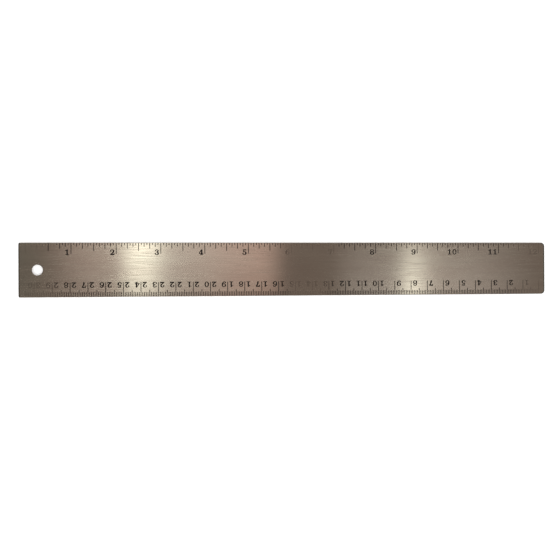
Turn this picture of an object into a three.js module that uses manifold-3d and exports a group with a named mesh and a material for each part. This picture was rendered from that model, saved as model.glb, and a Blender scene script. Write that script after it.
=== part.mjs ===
// A 12 inch and 30 centimetre steel ruler with a non-slip cork backing, in millimetres.
//
// +X runs along the inch scale, away from the hanging hole.
// +Y points across the blade, to the inch edge, and the centimetre edge is at -Y.
// +Z points out of the graduated face.
// The origin is the centre of the underside, which is the face of the cork.

import * as THREE from 'three';
import { mergeGeometries, mergeVertices } from 'three/addons/utils/BufferGeometryUtils.js';
import Module from 'manifold-3d';

const wasm = await Module();
wasm.setup();

const INCH = 25.4;

// Blade: a stamped and brushed stainless strip.
const BLADE_LENGTH = 312.5;
const BLADE_WIDTH = 31;
const BLADE_THICKNESS = 0.8;
const HOLE_END_CORNER_RADIUS = 1;
const FAR_END_CORNER_RADIUS = 2.3;

// Hanging hole, on the blade's centre line.
const HOLE_DIAMETER = 6;
const HOLE_INSET = 10.5;

// Backing: a cork strip, stuck to the blade with a film of adhesive cut to the same outline.
const BACKING_MARGIN = 3.5;
const BACKING_CORNER_RADIUS = 1.5;
const BACKING_HOLE_DIAMETER = 9;
const CORK_THICKNESS = 1;
const ADHESIVE_THICKNESS = 0.1;

// Graduations: lines etched into the graduated face, open at the blade's edge.
const ETCH_DEPTH = 0.1;
const LINE_WIDTH = 0.42;
const SCALE_HALF_SPAN = 6 * INCH;

const INCHES = 12;
const LINES_PER_INCH = 16;
const INCH_LINE = 6.35;
const HALF_INCH_LINE = 4.7;
const QUARTER_INCH_LINE = 3.4;
const EIGHTH_INCH_LINE = 2.35;
const SIXTEENTH_INCH_LINE = 1.4;

const MILLIMETRES = 305;
const CENTIMETRE_LINE = 8.4;
const HALF_CENTIMETRE_LINE = 4;
const MILLIMETRE_LINE = 2.8;

// A cutter runs this far past the faces that it opens.
const CUTTER_OVERRUN = 1;

// Segments in half of an arc, and the distance at which a solid's vertices are joined.
const ARC_SEGMENTS = 8;
const WELD_DISTANCE = 1e-5;

// An outline with one corner radius at the hole's end and another at the far end.
function stripOutline(length, width, holeEndRadius, farEndRadius) {
  const x = length / 2;
  const y = width / 2;
  const quarter = Math.PI / 2;
  const outline = new THREE.Shape();
  outline.absarc(x - farEndRadius, farEndRadius - y, farEndRadius, -quarter, 0);
  outline.absarc(x - farEndRadius, y - farEndRadius, farEndRadius, 0, quarter);
  outline.absarc(holeEndRadius - x, y - holeEndRadius, holeEndRadius, quarter, 2 * quarter);
  outline.absarc(holeEndRadius - x, holeEndRadius - y, holeEndRadius, 2 * quarter, 3 * quarter);
  return outline;
}

// The hole's outline, in four quarter turns, centred on the blade's hanging hole.
function holeOutline(diameter) {
  const centreX = HOLE_INSET - BLADE_LENGTH / 2;
  const quarter = Math.PI / 2;
  const outline = new THREE.Path();
  for (let turn = 0; turn < 4; turn += 1) {
    outline.absarc(centreX, 0, diameter / 2, turn * quarter, (turn + 1) * quarter);
  }
  return outline;
}

// A sheet of even thickness that stands on z = 0.
function sheet(outline, hole, thickness) {
  outline.holes.push(hole);
  return new THREE.ExtrudeGeometry(outline, {
    depth: thickness,
    bevelEnabled: false,
    curveSegments: ARC_SEGMENTS,
  });
}

function solidFrom(geometry) {
  const bare = geometry.clone();
  bare.deleteAttribute('normal');
  bare.deleteAttribute('uv');
  const welded = mergeVertices(bare, WELD_DISTANCE);
  return new wasm.Manifold(new wasm.Mesh({
    numProp: 3,
    vertProperties: new Float32Array(welded.attributes.position.array),
    triVerts: new Uint32Array(welded.index.array),
  }));
}

function geometryFrom(solid) {
  const mesh = solid.getMesh();
  const geometry = new THREE.BufferGeometry();
  geometry.setAttribute('position', new THREE.BufferAttribute(mesh.vertProperties, 3));
  geometry.setIndex(new THREE.BufferAttribute(mesh.triVerts, 1));
  geometry.computeVertexNormals();
  return geometry;
}

function inchLineLength(line) {
  if (line % LINES_PER_INCH === 0) return INCH_LINE;
  if (line % (LINES_PER_INCH / 2) === 0) return HALF_INCH_LINE;
  if (line % (LINES_PER_INCH / 4) === 0) return QUARTER_INCH_LINE;
  if (line % (LINES_PER_INCH / 8) === 0) return EIGHTH_INCH_LINE;
  return SIXTEENTH_INCH_LINE;
}

function metricLineLength(millimetre) {
  if (millimetre % 10 === 0) return CENTIMETRE_LINE;
  if (millimetre % 5 === 0) return HALF_CENTIMETRE_LINE;
  return MILLIMETRE_LINE;
}

// The cutter for one line. edge is +1 on the inch edge and -1 on the centimetre edge.
function lineCutter(x, edge, length) {
  const cutter = new THREE.BoxGeometry(
    LINE_WIDTH,
    length + CUTTER_OVERRUN,
    ETCH_DEPTH + CUTTER_OVERRUN,
  );
  const innerEnd = BLADE_WIDTH / 2 - length;
  const floor = BLADE_THICKNESS - ETCH_DEPTH;
  cutter.translate(
    x,
    edge * (innerEnd + (length + CUTTER_OVERRUN) / 2),
    floor + (ETCH_DEPTH + CUTTER_OVERRUN) / 2,
  );
  return cutter;
}

// The inch scale counts from the hole's end, and the metric scale from the far end.
function graduationCutters() {
  const cutters = [];
  for (let line = 0; line <= INCHES * LINES_PER_INCH; line += 1) {
    const x = (line * INCH) / LINES_PER_INCH - SCALE_HALF_SPAN;
    cutters.push(lineCutter(x, 1, inchLineLength(line)));
  }
  for (let millimetre = 0; millimetre <= MILLIMETRES; millimetre += 1) {
    const x = SCALE_HALF_SPAN - millimetre;
    cutters.push(lineCutter(x, -1, metricLineLength(millimetre)));
  }
  return mergeGeometries(cutters);
}

function bladeGeometry() {
  const blank = sheet(
    stripOutline(BLADE_LENGTH, BLADE_WIDTH, HOLE_END_CORNER_RADIUS, FAR_END_CORNER_RADIUS),
    holeOutline(HOLE_DIAMETER),
    BLADE_THICKNESS,
  );
  const etched = solidFrom(blank).subtract(solidFrom(graduationCutters()));
  return geometryFrom(etched);
}

function backingGeometry(thickness) {
  const outline = stripOutline(
    BLADE_LENGTH - 2 * BACKING_MARGIN,
    BLADE_WIDTH - 2 * BACKING_MARGIN,
    BACKING_CORNER_RADIUS,
    BACKING_CORNER_RADIUS,
  );
  return sheet(outline, holeOutline(BACKING_HOLE_DIAMETER), thickness);
}

function steelMaterial() {
  return new THREE.MeshStandardMaterial({ color: 0xa0927f, roughness: 0.35, metalness: 1 });
}

function adhesiveMaterial() {
  return new THREE.MeshStandardMaterial({ color: 0xd9cfb0, roughness: 0.4, metalness: 0 });
}

function corkMaterial() {
  return new THREE.MeshStandardMaterial({ color: 0xb98a58, roughness: 0.95, metalness: 0 });
}

// A named sub-part whose underside is at the given height.
function layer(name, geometry, material, height) {
  const mesh = new THREE.Mesh(geometry, material);
  mesh.name = name;
  mesh.position.z = height;
  return mesh;
}

const ruler = new THREE.Group();
ruler.add(layer('cork_backing', backingGeometry(CORK_THICKNESS), corkMaterial(), 0));
ruler.add(layer(
  'adhesive_film',
  backingGeometry(ADHESIVE_THICKNESS),
  adhesiveMaterial(),
  CORK_THICKNESS,
));
ruler.add(layer(
  'steel_blade',
  bladeGeometry(),
  steelMaterial(),
  CORK_THICKNESS + ADHESIVE_THICKNESS,
));

export default ruler;
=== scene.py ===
# A cork-backed steel ruler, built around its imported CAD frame. Lengths are in metres.
#
# The CAD holds the blade, the adhesive film and the cork as plain solids. Here the blade gets
# rolled edges and etched numerals, dark enamel fills the etching, and the cork gets its grain.

import math

import bmesh
import bpy
from mathutils import Matrix, Vector, noise
from mathutils.geometry import delaunay_2d_cdt


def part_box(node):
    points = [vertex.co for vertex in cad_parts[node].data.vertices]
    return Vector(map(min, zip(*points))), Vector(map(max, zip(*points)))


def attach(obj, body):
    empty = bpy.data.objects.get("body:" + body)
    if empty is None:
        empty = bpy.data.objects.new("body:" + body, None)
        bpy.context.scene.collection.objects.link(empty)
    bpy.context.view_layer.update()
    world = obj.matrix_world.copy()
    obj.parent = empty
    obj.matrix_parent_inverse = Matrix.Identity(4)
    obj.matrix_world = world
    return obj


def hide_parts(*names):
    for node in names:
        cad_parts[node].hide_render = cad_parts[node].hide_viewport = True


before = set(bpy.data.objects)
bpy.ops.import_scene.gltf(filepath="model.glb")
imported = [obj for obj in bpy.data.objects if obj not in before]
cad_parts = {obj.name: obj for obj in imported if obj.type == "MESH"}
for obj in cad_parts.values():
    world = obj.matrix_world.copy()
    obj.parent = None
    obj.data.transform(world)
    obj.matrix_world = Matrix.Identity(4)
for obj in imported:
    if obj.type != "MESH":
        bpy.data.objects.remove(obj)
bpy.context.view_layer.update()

MM = 0.001
INCH = 25.4 * MM

# Places taken from the frame.
BLADE_LOW, BLADE_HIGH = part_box("steel_blade")
CORK_LOW, CORK_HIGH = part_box("cork_backing")
HALF_LENGTH = BLADE_HIGH.x
HALF_WIDTH = BLADE_HIGH.y
FACE = BLADE_HIGH.z

# Blade.
HOLE_END_CORNER_RADIUS = 1.0 * MM
FAR_END_CORNER_RADIUS = 2.3 * MM
HOLE_RADIUS = 3.0 * MM
HOLE_INSET = 10.5 * MM  # from the blade's end to the hole's centre
HOLE_CENTRE = Vector((BLADE_LOW.x + HOLE_INSET, 0))
CORNER_STEPS = 24
HOLE_STEPS = 96

# Where the blade's faces roll over into its edges: how wide across the face, and how deep.
TOP_ROLL = (0.80 * MM, 0.28 * MM)
UNDER_ROLL = (0.12 * MM, 0.12 * MM)
HOLE_ROLL = (0.25 * MM, 0.15 * MM)
ROLL_STEPS = 8
SMOOTHEST_TURN = 25  # degrees between two faces that are still shaded as one surface
LEVEL_NORMAL = 0.9999  # the Z part of a flat face's direction, at the least

# Cork: pressed granules.
CORK_CORNER_RADIUS = 1.5 * MM
CORK_HOLE_RADIUS = 4.5 * MM
CORK_GRID = 0.55 * MM
CORK_GRID_JITTER = 0.3  # of the grid
CORK_LEVELS = 5
GRANULE = 1.5 * MM
JOINT_WIDTH = 0.22  # of a granule
JOINT_DEPTH = 0.05 * MM
LOST_GRANULES = 0.28  # the share of granules that are gone
LOST_GRANULE_DEPTH = 0.16 * MM
SIDE_GRAIN = 0.6 * MM
SIDE_ROUGHNESS = 0.18 * MM

# These spread neighbouring places over different cells of the noise.
JITTER_SPREAD = 7.3
LOST_GRANULE_SPREAD = 3.7

# Etching and its enamel, which lies a little below the face.
ETCH_DEPTH = 0.1 * MM
ENAMEL_DROP = 0.008 * MM
CUTTER_OVERRUN = 0.5 * MM
LINE_WIDTH = 0.42 * MM
SCALE_HALF_SPAN = 6 * INCH

INCHES = 12
LINES_PER_INCH = 16
INCH_LINE_LENGTHS = {16: 6.35 * MM, 8: 4.7 * MM, 4: 3.4 * MM, 2: 2.35 * MM, 1: 1.4 * MM}

MILLIMETRES = 305
METRIC_LINE_LENGTHS = {10: 8.4 * MM, 5: 4.0 * MM, 1: 2.8 * MM}

# Numerals. Each scale is read with its own edge at the top.
DIGIT_WIDTH = 0.76  # of the digit's height, as drawn
DIGIT_STRETCH = 1.09
ARC_STEP = 9  # degrees, in a digit's round strokes
BALL_SIDES = 18
CURVE_STEPS = 10
BRACKET_STEPS = 4
INCH_DIGIT_HEIGHT = 3.2 * MM
INCH_BASELINE = 7.1 * MM  # from the inch edge
INCH_LINE_GAP = 0.9 * MM
INCH_DIGIT_GAP = 0.45 * MM
METRIC_DIGIT_HEIGHT = 3.2 * MM
METRIC_BASELINE = 8.5 * MM  # from the centimetre edge
METRIC_SINGLE_GAP = 1.15 * MM
METRIC_PAIR_GAP = 0.85 * MM

# Steel, with its colour from warm to cool patches.
STEEL_WARM = (0.628, 0.548, 0.490)
STEEL_COOL = (0.612, 0.572, 0.510)
STEEL_ROUGHNESS = 0.13
CROWN = 1.0  # sideways tilt of the face for each metre away from its centre line

# Marks of the brushing and specks of dirt, which all come from stretched noise: length along the
# blade, width across it, and the noise's detail and seed.
GRAIN = (14 * MM, 0.42 * MM, 2.0, 0.0)
BANDS = (70 * MM, 1.3 * MM, 2.0, 5.0)
CLOUDS = (28 * MM, 9 * MM, 1.0, 9.0)
BRIGHT_SCRATCHES = (20 * MM, 0.16 * MM, 1.0, 13.0)
ROUGH_SCRATCHES = (16 * MM, 0.34 * MM, 1.0, 31.0)
SPECKS = (0.9 * MM, 0.5 * MM, 0.0, 21.0)

# The noise's values where a mark starts to show, and where it shows in full.
BRIGHT_SCRATCH_START = (0.70, 0.76)
ROUGH_SCRATCH_START = (0.50, 0.72)
SPECK_START = (0.80, 0.84)

# How far the marks change the steel's tone, its slope and its roughness.
GRAIN_CONTRAST = 0.045
BAND_CONTRAST = 0.015
CLOUD_CONTRAST = 0.03
BRIGHT_SCRATCH_TONE = 0.16
SPECK_TONE = -0.25
GRAIN_TILT = 0.003  # along the blade
GRAIN_LEAN = 0.007  # across the blade
SCRATCH_ROUGHNESS = 0.23
SMOOTH_STRETCH = (-8 * MM, 28 * MM)  # along X, where the face is hardly scratched
SMOOTH_STRETCH_END = 6 * MM  # how softly the scratches start again

# The rolled edges get painted shade: darker at the blade's ends and a little darker along its
# sides. They are also duller all round. Each change grows between two values of one part of the
# surface's direction: its X part at the ends, its Y part along the sides, and its Z part for the
# dullness.
END_EDGE_PAINTED_SHADE = 0.15
END_EDGE_SHADE_START = (0.02, 0.22)
LONG_EDGE_PAINTED_SHADE = 0.80
LONG_EDGE_SHADE_START = (0.05, 0.40)
EDGE_ROUGHNESS = 0.35
EDGE_FACING = (0.80, 0.99)

# How far the brushing turns away from the blade's length, as a slope.
BRUSHING_TURN = 0.02

# Steel at the bottom of an etched mark, against the steel around it.
ETCHED_STEEL_TONE = 0.82

# Enamel. Its grain, like the other noises below, has a size along X, Y and Z, a detail and a seed.
INK_DARK = (0.006, 0.0045, 0.0035)
INK_BROWN = (0.016, 0.012, 0.009)
INK_GRAIN = ((1.2 * MM, 0.5 * MM, 0.5 * MM), 3.0, 17.0)
INK_ROUGHNESS = (0.38, 0.55)
INK_SHINE = 0.15

# Where the enamel is worn: scale (+1 inch, -1 centimetre), left and right ends along X, and the
# softness of each end. The ends are ragged, in patches.
WORN_STRETCHES = (
    (1, -157 * MM, -141.2 * MM, 1 * MM, 1 * MM),
    (1, -138.5 * MM, -134.5 * MM, 0.5 * MM, 0.5 * MM),
    (-1, -157 * MM, -133 * MM, 1 * MM, 14 * MM),
    (1, -6 * MM, 29 * MM, 4 * MM, 3 * MM),
    (-1, -4 * MM, 25 * MM, 7 * MM, 10 * MM),
    (1, 132 * MM, 157 * MM, 14 * MM, 1 * MM),
    (-1, 138 * MM, 157 * MM, 14 * MM, 1 * MM),
)
WEAR_PATCH = ((2.5 * MM, 1.5 * MM, 1.5 * MM), 2.0, 3.0)
WEAR_RAGGEDNESS = 7 * MM
WEAR_CURVE = 1.5  # above 1, a mark that wears stays dark for longer
BARE_WEAR = 0.3  # from this much wear a mark shines as steel does, though it is still dark

# Cork granules from dark to pale, each with its place on the colour ramp, and flecks of bark.
CORK_BROWNS = (
    (0.0, (0.27, 0.14, 0.062)),
    (0.35, (0.42, 0.24, 0.11)),
    (0.7, (0.50, 0.31, 0.15)),
    (1.0, (0.58, 0.37, 0.19)),
)
CORK_TONE = (0.86, 1.12)
CORK_ROUGHNESS = (0.85, 0.98)
CORK_SHINE = 0.2
CORK_PORE = ((0.25 * MM, 0.25 * MM, 0.25 * MM), 4.0, 2.0)
CORK_PORE_DEPTH = 0.1 * MM
CORK_PORE_STRENGTH = 0.4
CORK_JOINT_TONE = 0.62
CORK_JOINT_REACH = 0.10  # of a granule, from the joint's middle
BARK_BROWN = (0.09, 0.04, 0.018)
BARK_FLECK = ((0.8 * MM, 0.5 * MM, 0.5 * MM), 2.0, 8.0)
BARK_START = (0.64, 0.70)
BARK_COVER = 0.85

# Adhesive film, with clouds of dust.
FILM_DUSTY = (0.62, 0.53, 0.34)
FILM_CLEAN = (0.82, 0.76, 0.58)
FILM_CLOUD = ((3 * MM, 3 * MM, 0.1 * MM), 3.0, 4.0)
FILM_ROUGHNESS = (0.30, 0.5)

# Where nearly all of a noise's values lie, and where most of them do.
NOISE_SPAN = (0.25, 0.75)
NOISE_MIDDLE = (0.3, 0.7)

# Studio.
FLOOR_HALF_SIDE = 4.0
FLOOR_TONE = 0.92
FLOOR_GRAIN = ((2 * MM, 2 * MM, 2 * MM), 2.0, 0.0)
FLOOR_GRAIN_TONE = 0.995
FLOOR_GLOW = 0.25  # a softly lit table, which stays white in the ruler's shade
DOME_LIGHT = 1.0
KEY_LIGHT = 0.8
KEY_WIDTH = math.radians(25)
TOWARDS_KEY = Vector((-0.3, -0.6, 1.0))
BACKDROP = 1.0

# What the steel mirrors: a dark room with panels overhead and windows low down. Each one spans a
# range of the direction's X part, with soft sides. A lean above 0 makes it brighter towards +Y and
# darker towards -Y, and one below 0 the other way round. In order: name, left, right, left softness,
# right softness, lean, and the radiance added to the dark room's. The dark gap takes some away.
DARK_ROOM = (0.178, 0.165, 0.140)
LEAN_REACH = 0.10  # the size of the direction's Y part where the lean is whole
LEAN_FADE = (0.12, 0.35)  # the size of the Y part where the lean starts to fade, and ends
OVERHEAD = (0.45, 0.65)  # the Z part where the panels start, and where they are whole
PANELS = (
    ("warm_room", -0.024, 0.4010, 0.012, 0.0040, 0.0, (0.022, 0.000, 0.000)),
    ("corner", -0.002, 0.0470, 0.018, 0.0060, 0.9, (0.252, 0.213, 0.194)),
    ("wall", 0.047, 0.1710, 0.006, 0.0025, 0.9, (0.296, 0.252, 0.232)),
    ("warm_wall", 0.110, 0.1710, 0.030, 0.0025, 0.2, (0.065, 0.010, 0.000)),
    ("warm_edge", 0.150, 0.1710, 0.010, 0.0025, 0.2, (0.060, 0.035, 0.022)),
    ("dark_gap", 0.1725, 0.1880, 0.003, 0.0090, 0.0, (-0.036, -0.026, -0.019)),
    ("ceiling", 0.050, 0.130, 0.009, 0.035, 0.8, (0.088, 0.118, 0.108)),
    ("window", 0.0492, 0.0726, 0.004, 0.009, 0.95, (1.20, 1.28, 1.11)),
    ("far_wall", 0.226, 0.356, 0.008, 0.030, -0.95, (0.170, 0.170, 0.165)),
    ("far_ceiling", 0.271, 0.335, 0.005, 0.040, -0.95, (0.095, 0.085, 0.075)),
    ("lamp", 0.2750, 0.2878, 0.004, 0.007, -0.95, (1.19, 1.25, 1.10)),
)
WINDOWS = (
    ("left_window", -1.30, -0.64, 0.05, 0.06, 0.0, (0.50, 0.48, 0.45)),
    ("left_lamp", -0.725, -0.675, 0.02, 0.02, 0.0, (0.60, 0.60, 0.54)),
    ("back_window", -0.30, 0.12, 0.16, 0.16, 0.0, (0.34, 0.33, 0.31)),
    ("right_window", 0.62, 1.30, 0.06, 0.05, 0.0, (0.42, 0.40, 0.37)),
    ("right_lamp", 0.655, 0.705, 0.02, 0.02, 0.0, (0.60, 0.60, 0.54)),
)

# Camera, nearly straight above the face. The lens and its sensor are in millimetres, as Blender
# takes them.
CAMERA_DISTANCE = 0.700
CAMERA_LENS = 78.55
CAMERA_SENSOR = 36
CAMERA_TILT = math.radians(9.8)  # towards the hole's end
CAMERA_ROLL = math.radians(-0.26)
CAMERA_AIM = Vector((-9.75 * MM, -3.38 * MM, FACE))


# ---------------------------------------------------------------- numerals

def ellipse_point(centre, radii, turn):
    angle = math.radians(turn)
    return (centre[0] + radii[0] * math.cos(angle), centre[1] + radii[1] * math.sin(angle))


def bowl(outer, outer_radii, inner, inner_radii, start, end):
    """A round stroke: the band between two ellipses, from one turn in degrees to another."""
    steps = math.ceil(abs(end - start) / ARC_STEP)
    turns = [start + (end - start) * step / steps for step in range(steps + 1)]
    band = []
    for first, second in zip(turns, turns[1:]):
        band.append([
            ellipse_point(outer, outer_radii, first),
            ellipse_point(outer, outer_radii, second),
            ellipse_point(inner, inner_radii, second),
            ellipse_point(inner, inner_radii, first),
        ])
    return band


def ball(x, y, radius):
    turns = [360 * step / BALL_SIDES for step in range(BALL_SIDES)]
    return [[ellipse_point((x, y), (radius, radius), turn) for turn in turns]]


def slab(left, right, bottom, top):
    return [[(left, bottom), (right, bottom), (right, top), (left, top)]]


def curve_stroke(start, middle, end, start_width, end_width):
    """A stroke along a quadratic curve, whose width changes evenly from end to end."""
    start, middle, end = Vector(start), Vector(middle), Vector(end)
    left, right = [], []
    for step in range(CURVE_STEPS + 1):
        t = step / CURVE_STEPS
        point = start * (1 - t) ** 2 + middle * 2 * t * (1 - t) + end * t * t
        along = ((middle - start) * (1 - t) + (end - middle) * t).normalized()
        side = Vector((-along.y, along.x)) * (start_width * (1 - t) + end_width * t) / 2
        left.append(point + side)
        right.append(point - side)
    quads = []
    for step in range(CURVE_STEPS):
        quads.append([left[step], right[step], right[step + 1], left[step + 1]])
    return quads


def foot(left, right, stem_left, stem_right):
    """A slab serif on the baseline, bracketed into the stem above it."""
    height, bracket = 0.12, 0.05
    outline = [(left, 0), (right, 0), (right, height)]
    radii = (bracket, bracket)
    turns = [90 * step / BRACKET_STEPS for step in range(BRACKET_STEPS + 1)]
    for turn in turns:
        centre = (stem_right + bracket, height + bracket)
        outline.append(ellipse_point(centre, radii, 270 - turn))
    for turn in turns:
        centre = (stem_left - bracket, height + bracket)
        outline.append(ellipse_point(centre, radii, -turn))
    outline.append((left, height))
    return [outline]


def turned(pieces):
    """The same pieces after half a turn about the middle of the digit."""
    return [[(DIGIT_WIDTH - x, 1 - y) for x, y in piece] for piece in pieces]


def six():
    return (
        bowl((0.38, 0.32), (0.37, 0.33), (0.38, 0.32), (0.155, 0.215), 0, 360)
        + bowl((0.46, 0.50), (0.44, 0.51), (0.55, 0.50), (0.31, 0.39), 52, 185)
        + ball(0.62, 0.81, 0.10)
    )


def digit_strokes():
    """Bold round-faced digits with slab serifs and ball ends, one unit high."""
    return {
        "0": bowl((0.38, 0.5), (0.37, 0.51), (0.38, 0.5), (0.16, 0.38), 0, 360),
        "1": (
            slab(0.29, 0.52, 0.04, 1.0)
            + foot(0.08, 0.73, 0.29, 0.52)
            + [[(0.45, 1.0), (0.26, 0.88), (0.07, 0.84), (0.07, 0.72), (0.40, 0.72)]]
        ),
        "2": (
            bowl((0.37, 0.70), (0.35, 0.31), (0.33, 0.69), (0.155, 0.195), 170, -40)
            + ball(0.145, 0.70, 0.115)
            + curve_stroke((0.56, 0.58), (0.52, 0.40), (0.12, 0.12), 0.26, 0.14)
            + [[(0.03, 0), (0.72, 0), (0.77, 0.31), (0.66, 0.31), (0.61, 0.21),
                (0.42, 0.21), (0.22, 0.24), (0.03, 0.16)]]
        ),
        "3": (
            bowl((0.36, 0.745), (0.32, 0.265), (0.33, 0.745), (0.13, 0.15), 172, -90)
            + bowl((0.36, 0.285), (0.37, 0.295), (0.32, 0.285), (0.155, 0.175), 90, -172)
            + ball(0.15, 0.765, 0.10)
            + ball(0.115, 0.255, 0.115)
            + slab(0.24, 0.42, 0.47, 0.58)
        ),
        "4": (
            slab(0.37, 0.62, 0.04, 1.0)
            + foot(0.22, 0.76, 0.37, 0.62)
            + slab(0.0, 0.76, 0.21, 0.345)
            + [[(0.39, 1.0), (0.0, 0.345), (0.0, 0.24), (0.12, 0.28), (0.42, 0.80), (0.45, 1.0)]]
        ),
        "5": (
            slab(0.12, 0.67, 0.80, 1.0)
            + slab(0.12, 0.25, 0.45, 0.90)
            + bowl((0.36, 0.325), (0.37, 0.335), (0.31, 0.325), (0.165, 0.215), 126, -168)
            + ball(0.115, 0.24, 0.115)
        ),
        "6": six(),
        "7": (
            slab(0.06, 0.74, 0.79, 1.0)
            + [[(0.06, 0.63), (0.16, 0.63), (0.24, 0.82), (0.06, 0.90)]]
            + curve_stroke((0.66, 0.86), (0.42, 0.55), (0.37, 0.0), 0.17, 0.28)
        ),
        "8": (
            bowl((0.38, 0.74), (0.32, 0.27), (0.38, 0.74), (0.135, 0.16), 0, 360)
            + bowl((0.38, 0.29), (0.37, 0.30), (0.38, 0.29), (0.155, 0.175), 0, 360)
        ),
        "9": turned(six()),
    }


def anticlockwise(piece):
    area = 0
    for (x0, y0), (x1, y1) in zip(piece, piece[1:] + piece[:1]):
        area += x0 * y1 - x1 * y0
    return piece if area > 0 else piece[::-1]


def fill(points, faces):
    """Triangles over some flat faces and the hull round them, each with the faces it is part of."""
    whole_hull = 0
    merge_distance = 1e-5
    with_owners = True
    filled = delaunay_2d_cdt(points, [], faces, whole_hull, merge_distance, with_owners)
    points, _, triangles, _, _, owners = filled
    return points, triangles, owners


def flat_shape(pieces):
    """Joins overlapping pieces into one flat shape: its points, its triangles and its rim."""
    points, faces = [], []
    for piece in pieces:
        corners = anticlockwise([tuple(corner) for corner in piece])
        faces.append(list(range(len(points), len(points) + len(corners))))
        points.extend(Vector(corner) for corner in corners)
    points, triangles, owners = fill(points, faces)
    triangles = [triangle for triangle, owner in zip(triangles, owners) if owner]
    sides = {(tri[k], tri[(k + 1) % 3]) for tri in triangles for k in range(3)}
    rim = [side for side in sides if side[::-1] not in sides]
    return points, triangles, sorted(rim)


# ---------------------------------------------------------------- meshes

class Build:
    """Points and faces on their way to a mesh."""

    def __init__(self):
        self.points = []
        self.faces = []

    def add(self, points, faces):
        first = len(self.points)
        self.points.extend(points)
        self.faces.extend([first + corner for corner in face] for face in faces)

    def prism(self, shape, place, low, high):
        """An upright prism on a flat shape, whose points place() puts in the plane."""
        flat, triangles, rim = shape
        count = len(flat)
        at = [place(point) for point in flat]
        points = [(x, y, low) for x, y in at] + [(x, y, high) for x, y in at]
        faces = [(a + count, b + count, c + count) for a, b, c in triangles]
        faces += [(c, b, a) for a, b, c in triangles]
        faces += [(a, b, b + count, a + count) for a, b in rim]
        self.add(points, faces)

    def bar(self, profile, x_low, x_high):
        """A bar along X with a flat profile of (y, z) points."""
        profile = anticlockwise(profile)
        count = len(profile)
        points = [(x_low, y, z) for y, z in profile] + [(x_high, y, z) for y, z in profile]
        faces = [tuple(range(count, 2 * count)), tuple(range(count - 1, -1, -1))]
        for k in range(count):
            after = (k + 1) % count
            faces.append((k, after, after + count, k + count))
        self.add(points, faces)

    def stack(self, rings):
        """A closed solid over rings of equal count, lowest first, anticlockwise from above."""
        count = len(rings[0])
        points = [point for ring in rings for point in ring]
        faces = []
        for level in range(len(rings) - 1):
            base = level * count
            for k in range(count):
                after = (k + 1) % count
                faces.append((base + k, base + after, base + count + after, base + count + k))
        faces.append(tuple(range(count - 1, -1, -1)))
        faces.append(tuple(range(len(points) - count, len(points))))
        self.add(points, faces)

    def make(self, name):
        mesh = bpy.data.meshes.new(name)
        mesh.from_pydata([tuple(point) for point in self.points], [], self.faces)
        mesh.update()
        made = bpy.data.objects.new(name, mesh)
        bpy.context.scene.collection.objects.link(made)
        return made


def carve(body, *cutters):
    """Cuts closed shapes out of a closed body, and removes the cutters."""
    for cutter in cutters:
        cut = body.modifiers.new("cut", "BOOLEAN")
        cut.operation = "DIFFERENCE"
        cut.solver = "MANIFOLD"
        cut.object = cutter
    bpy.context.view_layer.update()
    solved = body.evaluated_get(bpy.context.evaluated_depsgraph_get())
    carved = bpy.data.meshes.new_from_object(solved)
    body.modifiers.clear()
    body.data = carved
    for cutter in cutters:
        bpy.data.objects.remove(cutter)


def smooth_rolls(piece, degrees):
    """Smooth shading, except across turns of more than the angle and round the flat faces."""
    piece.data.shade_smooth()
    piece.data.set_sharp_from_angle(angle=math.radians(degrees))
    work = bmesh.new()
    work.from_mesh(piece.data)
    for edge in work.edges:
        level = [abs(face.normal.z) > LEVEL_NORMAL for face in edge.link_faces]
        if any(level) and not all(level):
            edge.smooth = False
    work.to_mesh(piece.data)
    work.free()


def piece_of(made, name, material):
    """Names a piece, gives it its material and its slot, and fixes it to the ruler's one body."""
    made.name = name
    made.data.name = name
    made.data.materials.clear()
    made.data.materials.append(material)
    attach(made, "root")
    return made


# ---------------------------------------------------------------- scales

def line_length(index, lengths):
    """Lines that mark larger steps are longer. lengths goes from the largest step down."""
    for step, length in lengths.items():
        if index % step == 0:
            return length


def scale_lines():
    """Each line's middle in X, its edge (+1 inch, -1 centimetre) and its length."""
    lines = []
    for index in range(INCHES * LINES_PER_INCH + 1):
        x = index * INCH / LINES_PER_INCH - SCALE_HALF_SPAN
        lines.append((x, 1, line_length(index, INCH_LINE_LENGTHS)))
    for index in range(MILLIMETRES + 1):
        x = SCALE_HALF_SPAN - index * MM
        lines.append((x, -1, line_length(index, METRIC_LINE_LENGTHS)))
    return lines


def inch_digits():
    """(digit, x, y, height, edge) for each digit, in the reader's own directions."""
    placed = []
    digit = DIGIT_WIDTH * DIGIT_STRETCH * INCH_DIGIT_HEIGHT
    pitch = digit + INCH_DIGIT_GAP
    y = HALF_WIDTH - INCH_BASELINE
    for inch in range(1, INCHES + 1):
        right = inch * INCH - SCALE_HALF_SPAN - INCH_LINE_GAP
        for place, character in enumerate(reversed(str(inch))):
            x = right - digit - place * pitch
            placed.append((character, x, y, INCH_DIGIT_HEIGHT, 1))
    return placed


def metric_digits():
    """The same for the metric scale, where a two-digit number stands astride its line."""
    placed = []
    digit = DIGIT_WIDTH * DIGIT_STRETCH * METRIC_DIGIT_HEIGHT
    y = HALF_WIDTH - METRIC_BASELINE
    for centimetre in range(1, MILLIMETRES // 10 + 1):
        line = centimetre * 10 * MM - SCALE_HALF_SPAN
        text = str(centimetre)
        if len(text) == 1:
            places = [line - METRIC_SINGLE_GAP - digit]
        else:
            places = [line - METRIC_PAIR_GAP - digit, line + METRIC_PAIR_GAP]
        for character, x in zip(text, places):
            placed.append((character, x, y, METRIC_DIGIT_HEIGHT, -1))
    return placed


def add_digits(build, shapes, digits, low, high):
    """A prism for each digit, turned to be read with its own edge at the top."""
    for character, x, y, height, edge in digits:
        def place(point):
            return (edge * (x + point.x * DIGIT_STRETCH * height), edge * (y + point.y * height))
        build.prism(shapes[character], place, low, high)


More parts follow.
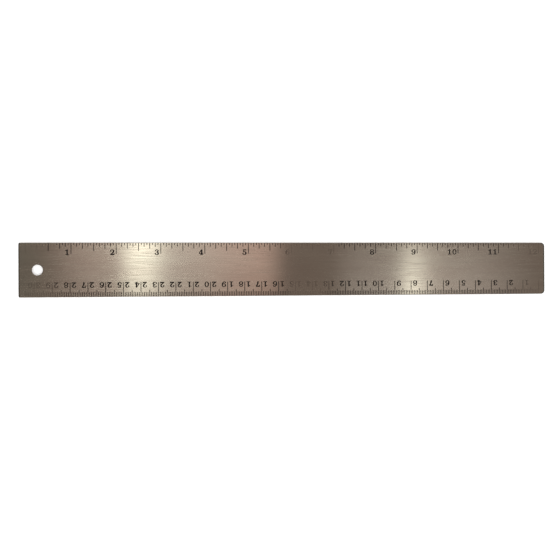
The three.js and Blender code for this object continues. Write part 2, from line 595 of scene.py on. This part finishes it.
def line_fill_profile(length, edge):
    """The enamel in a line, seen along X: it follows the blade's roll down and out."""
    width, depth = (side - ENAMEL_DROP for side in TOP_ROLL)
    floor = FACE - ETCH_DEPTH
    centre_in, centre_z = TOP_ROLL[0], FACE - TOP_ROLL[1]
    last = math.acos((floor - centre_z) / depth)
    profile = [(length, floor), (length, FACE - ENAMEL_DROP)]
    for step in range(ROLL_STEPS + 1):
        angle = last * step / ROLL_STEPS
        inward = centre_in - width * math.sin(angle)
        profile.append((inward, centre_z + depth * math.cos(angle)))
    return [(edge * (HALF_WIDTH - inward), z) for inward, z in profile]


def make_line_fill(edge):
    """The enamel in the lines of one scale."""
    build = Build()
    for x, line_edge, length in scale_lines():
        if line_edge == edge:
            profile = line_fill_profile(length, edge)
            build.bar(profile, x - LINE_WIDTH / 2, x + LINE_WIDTH / 2)
    return build.make("lines")


def make_digit_fill(shapes, digits):
    """The enamel in the numerals of one scale."""
    build = Build()
    add_digits(build, shapes, digits, FACE - ETCH_DEPTH, FACE - ENAMEL_DROP)
    return build.make("digits")


def make_etching_cutter(shapes):
    """Everything that is etched into the blade, as one set of closed cutters."""
    build = Build()
    floor = FACE - ETCH_DEPTH
    high = FACE + CUTTER_OVERRUN
    for x, edge, length in scale_lines():
        inner = edge * (HALF_WIDTH - length)
        outer = edge * (HALF_WIDTH + CUTTER_OVERRUN)
        profile = [(inner, floor), (outer, floor), (outer, high), (inner, high)]
        build.bar(profile, x - LINE_WIDTH / 2, x + LINE_WIDTH / 2)
    add_digits(build, shapes, inch_digits() + metric_digits(), floor, high)
    return build.make("etching_cutter")


# ---------------------------------------------------------------- blade

def strip_ring(inset, z, half_length, half_width, left_radius, right_radius):
    """A rectangle with round corners, drawn in by inset."""
    ring = []
    corners = (
        (half_length - right_radius, right_radius - half_width, right_radius, -90),
        (half_length - right_radius, half_width - right_radius, right_radius, 0),
        (left_radius - half_length, half_width - left_radius, left_radius, 90),
        (left_radius - half_length, left_radius - half_width, left_radius, 180),
    )
    for x, y, radius, start in corners:
        for step in range(CORNER_STEPS + 1):
            turn = start + 90 * step / CORNER_STEPS
            px, py = ellipse_point((x, y), (radius - inset, radius - inset), turn)
            ring.append((px, py, z))
    return ring


def rolled_levels(low, high, low_roll, high_roll):
    """(inset, z) from the underside up, over the rolls at both faces of a sheet."""
    levels = []
    width, depth = low_roll
    for step in range(ROLL_STEPS + 1):
        angle = math.radians(90 * step / ROLL_STEPS)
        levels.append((width * (1 - math.sin(angle)), low + depth * (1 - math.cos(angle))))
    width, depth = high_roll
    for step in range(ROLL_STEPS + 1):
        angle = math.radians(90 * step / ROLL_STEPS)
        levels.append((width * (1 - math.cos(angle)), high - depth * (1 - math.sin(angle))))
    return levels


def make_blade_blank():
    """The blade with its rolled edges, before it is pierced and etched."""
    build = Build()
    levels = rolled_levels(BLADE_LOW.z, FACE, UNDER_ROLL, TOP_ROLL)
    build.stack([
        strip_ring(inset, z, HALF_LENGTH, HALF_WIDTH, HOLE_END_CORNER_RADIUS, FAR_END_CORNER_RADIUS)
        for inset, z in levels
    ])
    return build.make("blade")


def make_hole_cutter():
    """The hanging hole's inside, flared where it meets each face."""
    levels = rolled_levels(BLADE_LOW.z, FACE, UNDER_ROLL, HOLE_ROLL)
    levels = [(levels[0][0], BLADE_LOW.z - CUTTER_OVERRUN)] + levels
    levels.append((levels[-1][0], FACE + CUTTER_OVERRUN))
    rings = []
    for flare, z in levels:
        radius = HOLE_RADIUS + flare
        ring = [
            ellipse_point(HOLE_CENTRE, (radius, radius), 360 * step / HOLE_STEPS)
            for step in range(HOLE_STEPS)
        ]
        rings.append([(x, y, z) for x, y in ring])
    build = Build()
    build.stack(rings)
    return build.make("hole_cutter")


# ---------------------------------------------------------------- cork

def jitter(place, amount):
    """A repeatable random shift, up to the amount each way along X and Y."""
    random = noise.cell_vector(place.to_3d() / CORK_GRID * JITTER_SPREAD)
    return Vector((random.x - 0.5, random.y - 0.5)) * 2 * amount


def spaced_outline(ring):
    """The ring's points, with others between them wherever they are more than a grid step apart."""
    points = []
    for first, second in zip(ring, ring[1:] + ring[:1]):
        first, second = Vector(first[:2]), Vector(second[:2])
        parts = max(1, round((second - first).length / CORK_GRID))
        points.extend(first.lerp(second, part / parts) for part in range(parts))
    return points


def granule_depth(place):
    """How far the sanded face sinks at a place, into joints and where granules are lost."""
    near, centres = noise.voronoi(Vector((place.x, place.y, 0)) / GRANULE)
    joint = max(0.0, 1 - (near[1] - near[0]) / JOINT_WIDTH)
    lost = noise.cell(centres[0] * LOST_GRANULE_SPREAD) > 1 - LOST_GRANULES
    return JOINT_DEPTH * joint + (LOST_GRANULE_DEPTH * (1 - joint) if lost else 0.0)


def clamped(value, reach):
    return max(-reach, min(reach, value))


def into_cork(point):
    """The direction into the cork, from a point on its outline or round its hole."""
    if (point - HOLE_CENTRE).length < CORK_HOLE_RADIUS + CORK_GRID:
        return (point - HOLE_CENTRE).normalized()
    core_x = CORK_HIGH.x - CORK_CORNER_RADIUS
    core_y = CORK_HIGH.y - CORK_CORNER_RADIUS
    core = Vector((clamped(point.x, core_x), clamped(point.y, core_y)))
    return (core - point).normalized()


def cork_rims():
    """The cork's outline, and the edge of its hole."""
    corners = (CORK_CORNER_RADIUS, CORK_CORNER_RADIUS)
    outline = spaced_outline(strip_ring(0, 0, CORK_HIGH.x, CORK_HIGH.y, *corners))
    radii = (CORK_HOLE_RADIUS, CORK_HOLE_RADIUS)
    hole = []
    for step in range(HOLE_STEPS):
        turn = -360 * step / HOLE_STEPS
        hole.append(Vector(ellipse_point(HOLE_CENTRE, radii, turn)))
    return outline, hole


def cork_middle():
    """The points of a jittered grid between the cork's outline and its hole."""
    columns = int(CORK_HIGH.x / CORK_GRID) - 1
    rows = int(CORK_HIGH.y / CORK_GRID) - 1
    middle = []
    for column in range(-columns, columns + 1):
        for row in range(-rows, rows + 1):
            place = Vector((column, row)) * CORK_GRID
            if (place - HOLE_CENTRE).length > CORK_HOLE_RADIUS + CORK_GRID:
                middle.append(place + jitter(place, CORK_GRID_JITTER * CORK_GRID))
    return middle


def fill_cork(points, outline, hole):
    """Triangles over the points, inside the outline and outside the hole."""
    _, triangles, owners = fill([point / MM for point in points], [outline, hole[::-1]])
    hole_face = 1
    return [tri for tri, owner in zip(triangles, owners) if owner and hole_face not in owner]


def side_point(point, height, roughness):
    """A point on the cork's side, sunk into it by up to the roughness."""
    sunk = roughness * abs(noise.noise(Vector((point.x, point.y, height)) / SIDE_GRAIN))
    moved = point + into_cork(point) * sunk
    return (moved.x, moved.y, height)


def make_cork():
    """A sheet of pressed granules: its top is flat, and its underside and sides are grainy."""
    outline, hole = cork_rims()
    rims = outline + hole
    loops = (list(range(len(outline))), list(range(len(outline), len(rims))))
    flat = rims + cork_middle()
    build = Build()
    under = [(point.x, point.y, CORK_LOW.z + granule_depth(point)) for point in flat]
    build.add(under, [triangle[::-1] for triangle in fill_cork(flat, *loops)])
    thickness = CORK_HIGH.z - CORK_LOW.z
    below = 0
    for level in range(1, CORK_LEVELS + 1):
        height = CORK_LOW.z + thickness * level / CORK_LEVELS
        roughness = 0 if level == CORK_LEVELS else SIDE_ROUGHNESS
        here = len(build.points)
        build.points.extend(side_point(point, height, roughness) for point in rims)
        for loop in loops:
            for first, second in zip(loop, loop[1:] + loop[:1]):
                build.faces.append([below + first, below + second, here + second, here + first])
        below = here
    top = fill_cork(rims, *loops)
    build.faces.extend([below + corner for corner in triangle] for triangle in top)
    return build.make("cork")


# ---------------------------------------------------------------- materials

def add_node(tree, kind, inputs=None, **settings):
    """A new node. An input is a value, or the output socket that feeds it."""
    made = tree.nodes.new(kind)
    for name, value in settings.items():
        setattr(made, name, value)
    for name, value in (inputs or {}).items():
        if isinstance(value, bpy.types.NodeSocket):
            tree.links.new(value, made.inputs[name])
        else:
            made.inputs[name].default_value = value
    return made


def math_node(tree, operation, first, second=0.0, third=0.0):
    made = add_node(tree, "ShaderNodeMath", {0: first, 1: second, 2: third}, operation=operation)
    return made.outputs[0]


def vector_node(tree, operation, inputs):
    return add_node(tree, "ShaderNodeVectorMath", inputs, operation=operation).outputs[0]


def blend(tree, kind, amount, first, second):
    """Mixes two numbers ("FLOAT") or two colours ("RGBA") by an amount from 0 to 1."""
    made = add_node(tree, "ShaderNodeMix", data_type=kind)
    sockets = {"FLOAT": (2, 3, 0), "RGBA": (6, 7, 2)}[kind]
    for index, value in zip((0, *sockets[:2]), (amount, first, second)):
        if isinstance(value, bpy.types.NodeSocket):
            tree.links.new(value, made.inputs[index])
        else:
            made.inputs[index].default_value = value
    return made.outputs[sockets[2]]


def ramp(tree, value, low, high, to_low=0.0, to_high=1.0, kind="SMOOTHSTEP"):
    """Maps low..high onto to_low..to_high, and holds the end values beyond."""
    made = add_node(
        tree, "ShaderNodeMapRange",
        {"Value": value, "From Min": low, "From Max": high, "To Min": to_low, "To Max": to_high},
        interpolation_type=kind,
    )
    return made.outputs["Result"]


def within(tree, value, left, right, left_soft, right_soft):
    """1 between two values and 0 outside them, with soft ends."""
    rise = ramp(tree, value, left - left_soft, left + left_soft)
    fall = ramp(tree, value, right - right_soft, right + right_soft, 1.0, 0.0)
    return math_node(tree, "MULTIPLY", rise, fall)


def object_place(tree):
    return add_node(tree, "ShaderNodeTexCoord").outputs["Object"]


def scaled_place(tree, size, seed):
    """The place on the piece, counted in steps of the given size along X, Y and Z."""
    scale = tuple(1 / side for side in size)
    made = add_node(
        tree, "ShaderNodeMapping",
        {"Vector": object_place(tree), "Location": (seed, seed, seed), "Scale": scale},
    )
    return made.outputs[0]


def stretched_noise(tree, size, detail, seed):
    """Noise from 0 to 1 whose grains have the given size along X, Y and Z."""
    place = scaled_place(tree, size, seed)
    made = add_node(tree, "ShaderNodeTexNoise", {"Vector": place, "Scale": 1.0, "Detail": detail})
    return made.outputs[0]


def granules(tree, size, feature):
    """A Voronoi texture node with cells of the given size."""
    place = scaled_place(tree, (size, size, size), 0.0)
    return add_node(tree, "ShaderNodeTexVoronoi", {"Vector": place, "Scale": 1.0}, feature=feature)


def new_material(name):
    material = bpy.data.materials.new(name)
    material.use_nodes = True
    tree = material.node_tree
    return material, tree, tree.nodes["Principled BSDF"]


def shade(tree, surface, **inputs):
    """Feeds values or sockets to the surface's inputs. An underscore stands for a space."""
    for name, value in inputs.items():
        socket = surface.inputs[name.replace("_", " ")]
        if isinstance(value, bpy.types.NodeSocket):
            tree.links.new(value, socket)
        else:
            socket.default_value = value


def piece_axis(tree, x, y):
    """A direction fixed to the piece, in the world's directions."""
    made = add_node(
        tree, "ShaderNodeVectorTransform", {0: (x, y, 0)},
        vector_type="VECTOR", convert_from="OBJECT", convert_to="WORLD",
    )
    return made.outputs[0]


def brush_marks(tree, length, width, detail, seed):
    return stretched_noise(tree, (length, width, width), detail, seed)


def facing_part(tree, axis):
    """How squarely the surface faces along one axis of the piece, from 0 to 1."""
    facing = add_node(tree, "ShaderNodeTexCoord").outputs["Normal"]
    facing = add_node(tree, "ShaderNodeSeparateXYZ", {0: facing}).outputs
    return math_node(tree, "ABSOLUTE", facing[axis])


def brushed_colour(tree, grain):
    bands = brush_marks(tree, *BANDS)
    clouds = brush_marks(tree, *CLOUDS)
    tone = 1.0
    for marks, span, contrast in (
        (grain, NOISE_SPAN, GRAIN_CONTRAST),
        (bands, NOISE_SPAN, BAND_CONTRAST),
        (clouds, NOISE_MIDDLE, CLOUD_CONTRAST),
    ):
        change = ramp(tree, marks, *span, 1 - contrast, 1 + contrast, "LINEAR")
        tone = math_node(tree, "MULTIPLY", tone, change)
    scratches = ramp(tree, brush_marks(tree, *BRIGHT_SCRATCHES), *BRIGHT_SCRATCH_START)
    tone = math_node(tree, "MULTIPLY_ADD", scratches, BRIGHT_SCRATCH_TONE, tone)
    specks = ramp(tree, brush_marks(tree, *SPECKS), *SPECK_START)
    tone = math_node(tree, "MULTIPLY_ADD", specks, SPECK_TONE, tone)
    # Painted shade: the rolled edges are darkened where the surface faces along X or Y.
    for axis, start, painted_edge_shade in (
        ("X", END_EDGE_SHADE_START, END_EDGE_PAINTED_SHADE),
        ("Y", LONG_EDGE_SHADE_START, LONG_EDGE_PAINTED_SHADE),
    ):
        change = ramp(tree, facing_part(tree, axis), *start, 1.0, painted_edge_shade)
        tone = math_node(tree, "MULTIPLY", tone, change)
    tint = blend(tree, "RGBA", clouds, (*STEEL_WARM, 1), (*STEEL_COOL, 1))
    return vector_node(tree, "SCALE", {0: tint, "Scale": tone})


def brushed_normal(tree, grain, place):
    """The surface's own direction, leaned by the crown and tilted a little by each grain."""
    tilt = math_node(tree, "MULTIPLY_ADD", grain, GRAIN_TILT, -0.5 * GRAIN_TILT)
    lean = math_node(tree, "MULTIPLY_ADD", grain, GRAIN_LEAN, -0.5 * GRAIN_LEAN)
    lean = math_node(tree, "ADD", math_node(tree, "MULTIPLY", place["Y"], CROWN), lean)
    normal = add_node(tree, "ShaderNodeNewGeometry").outputs["Normal"]
    for direction, amount in ((piece_axis(tree, 1, 0), tilt), (piece_axis(tree, 0, 1), lean)):
        change = vector_node(tree, "SCALE", {0: direction, "Scale": amount})
        normal = vector_node(tree, "ADD", {0: normal, 1: change})
    return vector_node(tree, "NORMALIZE", {0: normal})


def brushed_roughness(tree, place):
    soft = SMOOTH_STRETCH_END
    smooth = within(tree, place["X"], *SMOOTH_STRETCH, soft, soft)
    scratched = blend(tree, "FLOAT", smooth, SCRATCH_ROUGHNESS, STEEL_ROUGHNESS)
    scratches = brush_marks(tree, *ROUGH_SCRATCHES)
    face = ramp(tree, scratches, *ROUGH_SCRATCH_START, STEEL_ROUGHNESS, scratched)
    return ramp(tree, facing_part(tree, "Z"), *EDGE_FACING, EDGE_ROUGHNESS, face)


def brushed_look(tree):
    """The blade's colour, with painted shade on its rolled edges, its normal and its roughness.
    Brushing runs along X, in long thin grains.
    """
    grain = brush_marks(tree, *GRAIN)
    place = add_node(tree, "ShaderNodeSeparateXYZ", {0: object_place(tree)}).outputs
    return (
        brushed_colour(tree, grain),
        brushed_normal(tree, grain, place),
        brushed_roughness(tree, place),
    )


def steel_material():
    """Bare brushed steel, whose highlights spread across the brushing."""
    material, tree, surface = new_material("brushed_steel")
    colour, normal, roughness = brushed_look(tree)
    shade(
        tree, surface, Metallic=1.0, Base_Color=colour, Normal=normal, Roughness=roughness,
        Anisotropic=1.0, Tangent=piece_axis(tree, BRUSHING_TURN, 1),
    )
    return material


def worn_amount(tree):
    """How much of the enamel is gone, from 0 to 1, from the place along the ruler and the scale."""
    at = add_node(tree, "ShaderNodeSeparateXYZ", {0: object_place(tree)}).outputs
    ragged = stretched_noise(tree, *WEAR_PATCH)
    ragged = math_node(tree, "SUBTRACT", ragged, 0.5)
    x = math_node(tree, "MULTIPLY_ADD", ragged, WEAR_RAGGEDNESS, at["X"])
    worn = 0.0
    for edge, left, right, left_soft, right_soft in WORN_STRETCHES:
        on_scale = math_node(tree, "GREATER_THAN", math_node(tree, "MULTIPLY", at["Y"], edge), 0.0)
        along = within(tree, x, left, right, left_soft, right_soft)
        worn = math_node(tree, "MAXIMUM", worn, math_node(tree, "MULTIPLY", on_scale, along))
    return worn


def enamel_material():
    """Dark enamel, worn down in some stretches to the steel under it."""
    material, tree, surface = new_material("black_enamel")
    steel, normal, roughness = brushed_look(tree)
    # The bare steel's colour also carries the painted shade on the rolled edges.
    etched_steel = vector_node(tree, "SCALE", {0: steel, "Scale": ETCHED_STEEL_TONE})
    worn = worn_amount(tree)
    bare = ramp(tree, worn, 0.0, BARE_WEAR)
    grain = stretched_noise(tree, *INK_GRAIN)
    ink = blend(tree, "RGBA", grain, (*INK_DARK, 1), (*INK_BROWN, 1))
    ink_roughness = ramp(tree, grain, *NOISE_MIDDLE, *INK_ROUGHNESS)
    cleared = math_node(tree, "POWER", worn, WEAR_CURVE)
    shade(
        tree, surface,
        Base_Color=blend(tree, "RGBA", cleared, ink, etched_steel),
        Metallic=bare,
        Roughness=blend(tree, "FLOAT", bare, ink_roughness, roughness),
        Anisotropic=bare,
        Tangent=piece_axis(tree, BRUSHING_TURN, 1),
        Normal=normal,
        Specular_IOR_Level=INK_SHINE,
    )
    return material


def cork_material():
    """Pressed granules of several browns, with dark flecks of bark and darker joints."""
    material, tree, surface = new_material("cork")
    cells = granules(tree, GRANULE, "F1")
    cell_random = add_node(tree, "ShaderNodeSeparateColor", {0: cells.outputs["Color"]}).outputs[0]
    brown = add_node(tree, "ShaderNodeValToRGB", {0: cell_random})
    stops = brown.color_ramp.elements
    for place, _ in CORK_BROWNS[1:-1]:
        stops.new(place)
    for stop, (_, colour) in zip(stops, CORK_BROWNS):
        stop.color = (*colour, 1)
    fine = stretched_noise(tree, *CORK_PORE)
    edges = granules(tree, GRANULE, "DISTANCE_TO_EDGE").outputs["Distance"]
    joints = ramp(tree, edges, 0.0, CORK_JOINT_REACH, CORK_JOINT_TONE, 1.0)
    tone = math_node(tree, "MULTIPLY", joints, ramp(tree, fine, *NOISE_MIDDLE, *CORK_TONE))
    colour = vector_node(tree, "SCALE", {0: brown.outputs[0], "Scale": tone})
    flecks = ramp(tree, stretched_noise(tree, *BARK_FLECK), *BARK_START)
    flecks = math_node(tree, "MULTIPLY", flecks, BARK_COVER)
    colour = blend(tree, "RGBA", flecks, colour, (*BARK_BROWN, 1))
    pores = {"Height": fine, "Strength": CORK_PORE_STRENGTH, "Distance": CORK_PORE_DEPTH}
    bump = add_node(tree, "ShaderNodeBump", pores)
    shade(
        tree, surface, Base_Color=colour, Normal=bump.outputs[0],
        Roughness=ramp(tree, fine, *NOISE_MIDDLE, *CORK_ROUGHNESS), Specular_IOR_Level=CORK_SHINE,
    )
    return material


def adhesive_material():
    """A clear film seen edge on: yellowish, with faint clouds where it has taken up dust."""
    material, tree, surface = new_material("adhesive")
    cloud = stretched_noise(tree, *FILM_CLOUD)
    clean = ramp(tree, cloud, *NOISE_MIDDLE)
    colour = blend(tree, "RGBA", clean, (*FILM_DUSTY, 1), (*FILM_CLEAN, 1))
    roughness = ramp(tree, cloud, *NOISE_MIDDLE, *FILM_ROUGHNESS)
    shade(tree, surface, Base_Color=colour, Roughness=roughness)
    return material


def floor_material():
    """Plain pale paper, with a grain too faint to see as a pattern."""
    material, tree, surface = new_material("pale_floor")
    grain = stretched_noise(tree, *FLOOR_GRAIN)
    dark, pale = FLOOR_TONE * FLOOR_GRAIN_TONE, FLOOR_TONE
    colour = blend(tree, "RGBA", grain, (dark, dark, dark, 1), (pale, pale, pale, 1))
    shade(
        tree, surface, Base_Color=colour, Roughness=1.0, Specular_IOR_Level=0.0,
        Emission_Color=(1, 1, 1, 1), Emission_Strength=FLOOR_GLOW,
    )
    return material


# ---------------------------------------------------------------- studio

def lit_panels(tree, panels, parts):
    """The light of some panels, as a colour, seen along a direction with the given parts."""
    light = (0.0, 0.0, 0.0)
    side = ramp(tree, parts["Y"], -LEAN_REACH, LEAN_REACH, -1.0, 1.0, "LINEAR")
    reached = ramp(tree, math_node(tree, "ABSOLUTE", parts["Y"]), *LEAN_FADE, 1.0, 0.0)
    side = math_node(tree, "MULTIPLY", side, reached)
    for _, left, right, left_soft, right_soft, lean, radiance in panels:
        lit = within(tree, parts["X"], left, right, left_soft, right_soft)
        across = math_node(tree, "MULTIPLY_ADD", side, lean, 1.0)
        strength = math_node(tree, "MULTIPLY", lit, across)
        panel = vector_node(tree, "SCALE", {0: radiance, "Scale": strength})
        light = vector_node(tree, "ADD", {0: light, 1: panel})
    return light


def make_world():
    """White light all round, a white backdrop, and a studio that only glossy rays meet."""
    world = bpy.data.worlds.new("studio")
    bpy.context.scene.world = world
    world.cycles.sampling_method = "NONE"
    world.use_nodes = True
    tree = world.node_tree
    tree.nodes.clear()
    direction = add_node(tree, "ShaderNodeTexCoord").outputs["Generated"]
    parts = add_node(tree, "ShaderNodeSeparateXYZ", {0: direction}).outputs
    overhead = ramp(tree, parts["Z"], *OVERHEAD)
    low = math_node(tree, "SUBTRACT", 1.0, overhead)
    panels = vector_node(tree, "SCALE", {0: lit_panels(tree, PANELS, parts), "Scale": overhead})
    windows = vector_node(tree, "SCALE", {0: lit_panels(tree, WINDOWS, parts), "Scale": low})
    mirrored = vector_node(tree, "ADD", {0: panels, 1: windows})
    mirrored = vector_node(tree, "ADD", {0: DARK_ROOM, 1: mirrored})
    path = add_node(tree, "ShaderNodeLightPath")
    dome = add_node(tree, "ShaderNodeBackground", {"Color": (1, 1, 1, 1), "Strength": DOME_LIGHT})
    studio = add_node(tree, "ShaderNodeBackground", {"Color": mirrored, "Strength": 1.0})
    backdrop = add_node(tree, "ShaderNodeBackground", {"Color": (1, 1, 1, 1), "Strength": BACKDROP})
    by_gloss = add_node(
        tree, "ShaderNodeMixShader",
        {0: path.outputs["Is Glossy Ray"], 1: dome.outputs[0], 2: studio.outputs[0]},
    )
    by_camera = add_node(
        tree, "ShaderNodeMixShader",
        {0: path.outputs["Is Camera Ray"], 1: by_gloss.outputs[0], 2: backdrop.outputs[0]},
    )
    output = tree.nodes.new("ShaderNodeOutputWorld")
    tree.links.new(by_camera.outputs[0], output.inputs["Surface"])


def make_floor():
    half = FLOOR_HALF_SIDE
    corners = [(-half, -half, 0), (half, -half, 0), (half, half, 0), (-half, half, 0)]
    build = Build()
    build.add(corners, [(0, 1, 2, 3)])
    floor = build.make("floor")
    floor.data.materials.append(floor_material())


def make_key_light():
    light = bpy.data.lights.new("key", "SUN")
    light.energy = KEY_LIGHT
    light.angle = KEY_WIDTH
    lamp = bpy.data.objects.new("key", light)
    bpy.context.scene.collection.objects.link(lamp)
    lamp.rotation_euler = TOWARDS_KEY.to_track_quat("Z", "Y").to_euler()
    lamp.visible_glossy = False


def make_camera():
    data = bpy.data.cameras.new("camera")
    data.lens = CAMERA_LENS
    data.sensor_width = CAMERA_SENSOR
    camera = bpy.data.objects.new("camera", data)
    bpy.context.scene.collection.objects.link(camera)
    turn = Matrix.Rotation(-CAMERA_TILT, 4, "Y") @ Matrix.Rotation(CAMERA_ROLL, 4, "Z")
    back = turn @ Vector((0, 0, 1))
    camera.matrix_world = Matrix.Translation(CAMERA_AIM + back * CAMERA_DISTANCE) @ turn
    bpy.context.scene.camera = camera


# ---------------------------------------------------------------- the ruler

def build_ruler():
    shapes = {digit: flat_shape(pieces) for digit, pieces in digit_strokes().items()}
    enamel = enamel_material()

    blade = make_blade_blank()
    carve(blade, make_hole_cutter(), make_etching_cutter(shapes))
    smooth_rolls(blade, SMOOTHEST_TURN)
    piece_of(blade, "blade", steel_material())
    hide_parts("steel_blade")

    piece_of(make_line_fill(1), "inch_lines_enamel", enamel)
    piece_of(make_line_fill(-1), "centimetre_lines_enamel", enamel)
    inch_numerals = make_digit_fill(shapes, inch_digits())
    piece_of(inch_numerals, "inch_numerals_enamel", enamel)
    metric_numerals = make_digit_fill(shapes, metric_digits())
    piece_of(metric_numerals, "centimetre_numerals_enamel", enamel)

    cork = piece_of(make_cork(), "cork", cork_material())
    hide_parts("cork_backing")

    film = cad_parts["adhesive_film"]
    film.data.materials.clear()
    film.data.materials.append(adhesive_material())


build_ruler()
make_world()
make_floor()
make_key_light()
make_camera()
bpy.context.scene.view_settings.view_transform = "Standard"
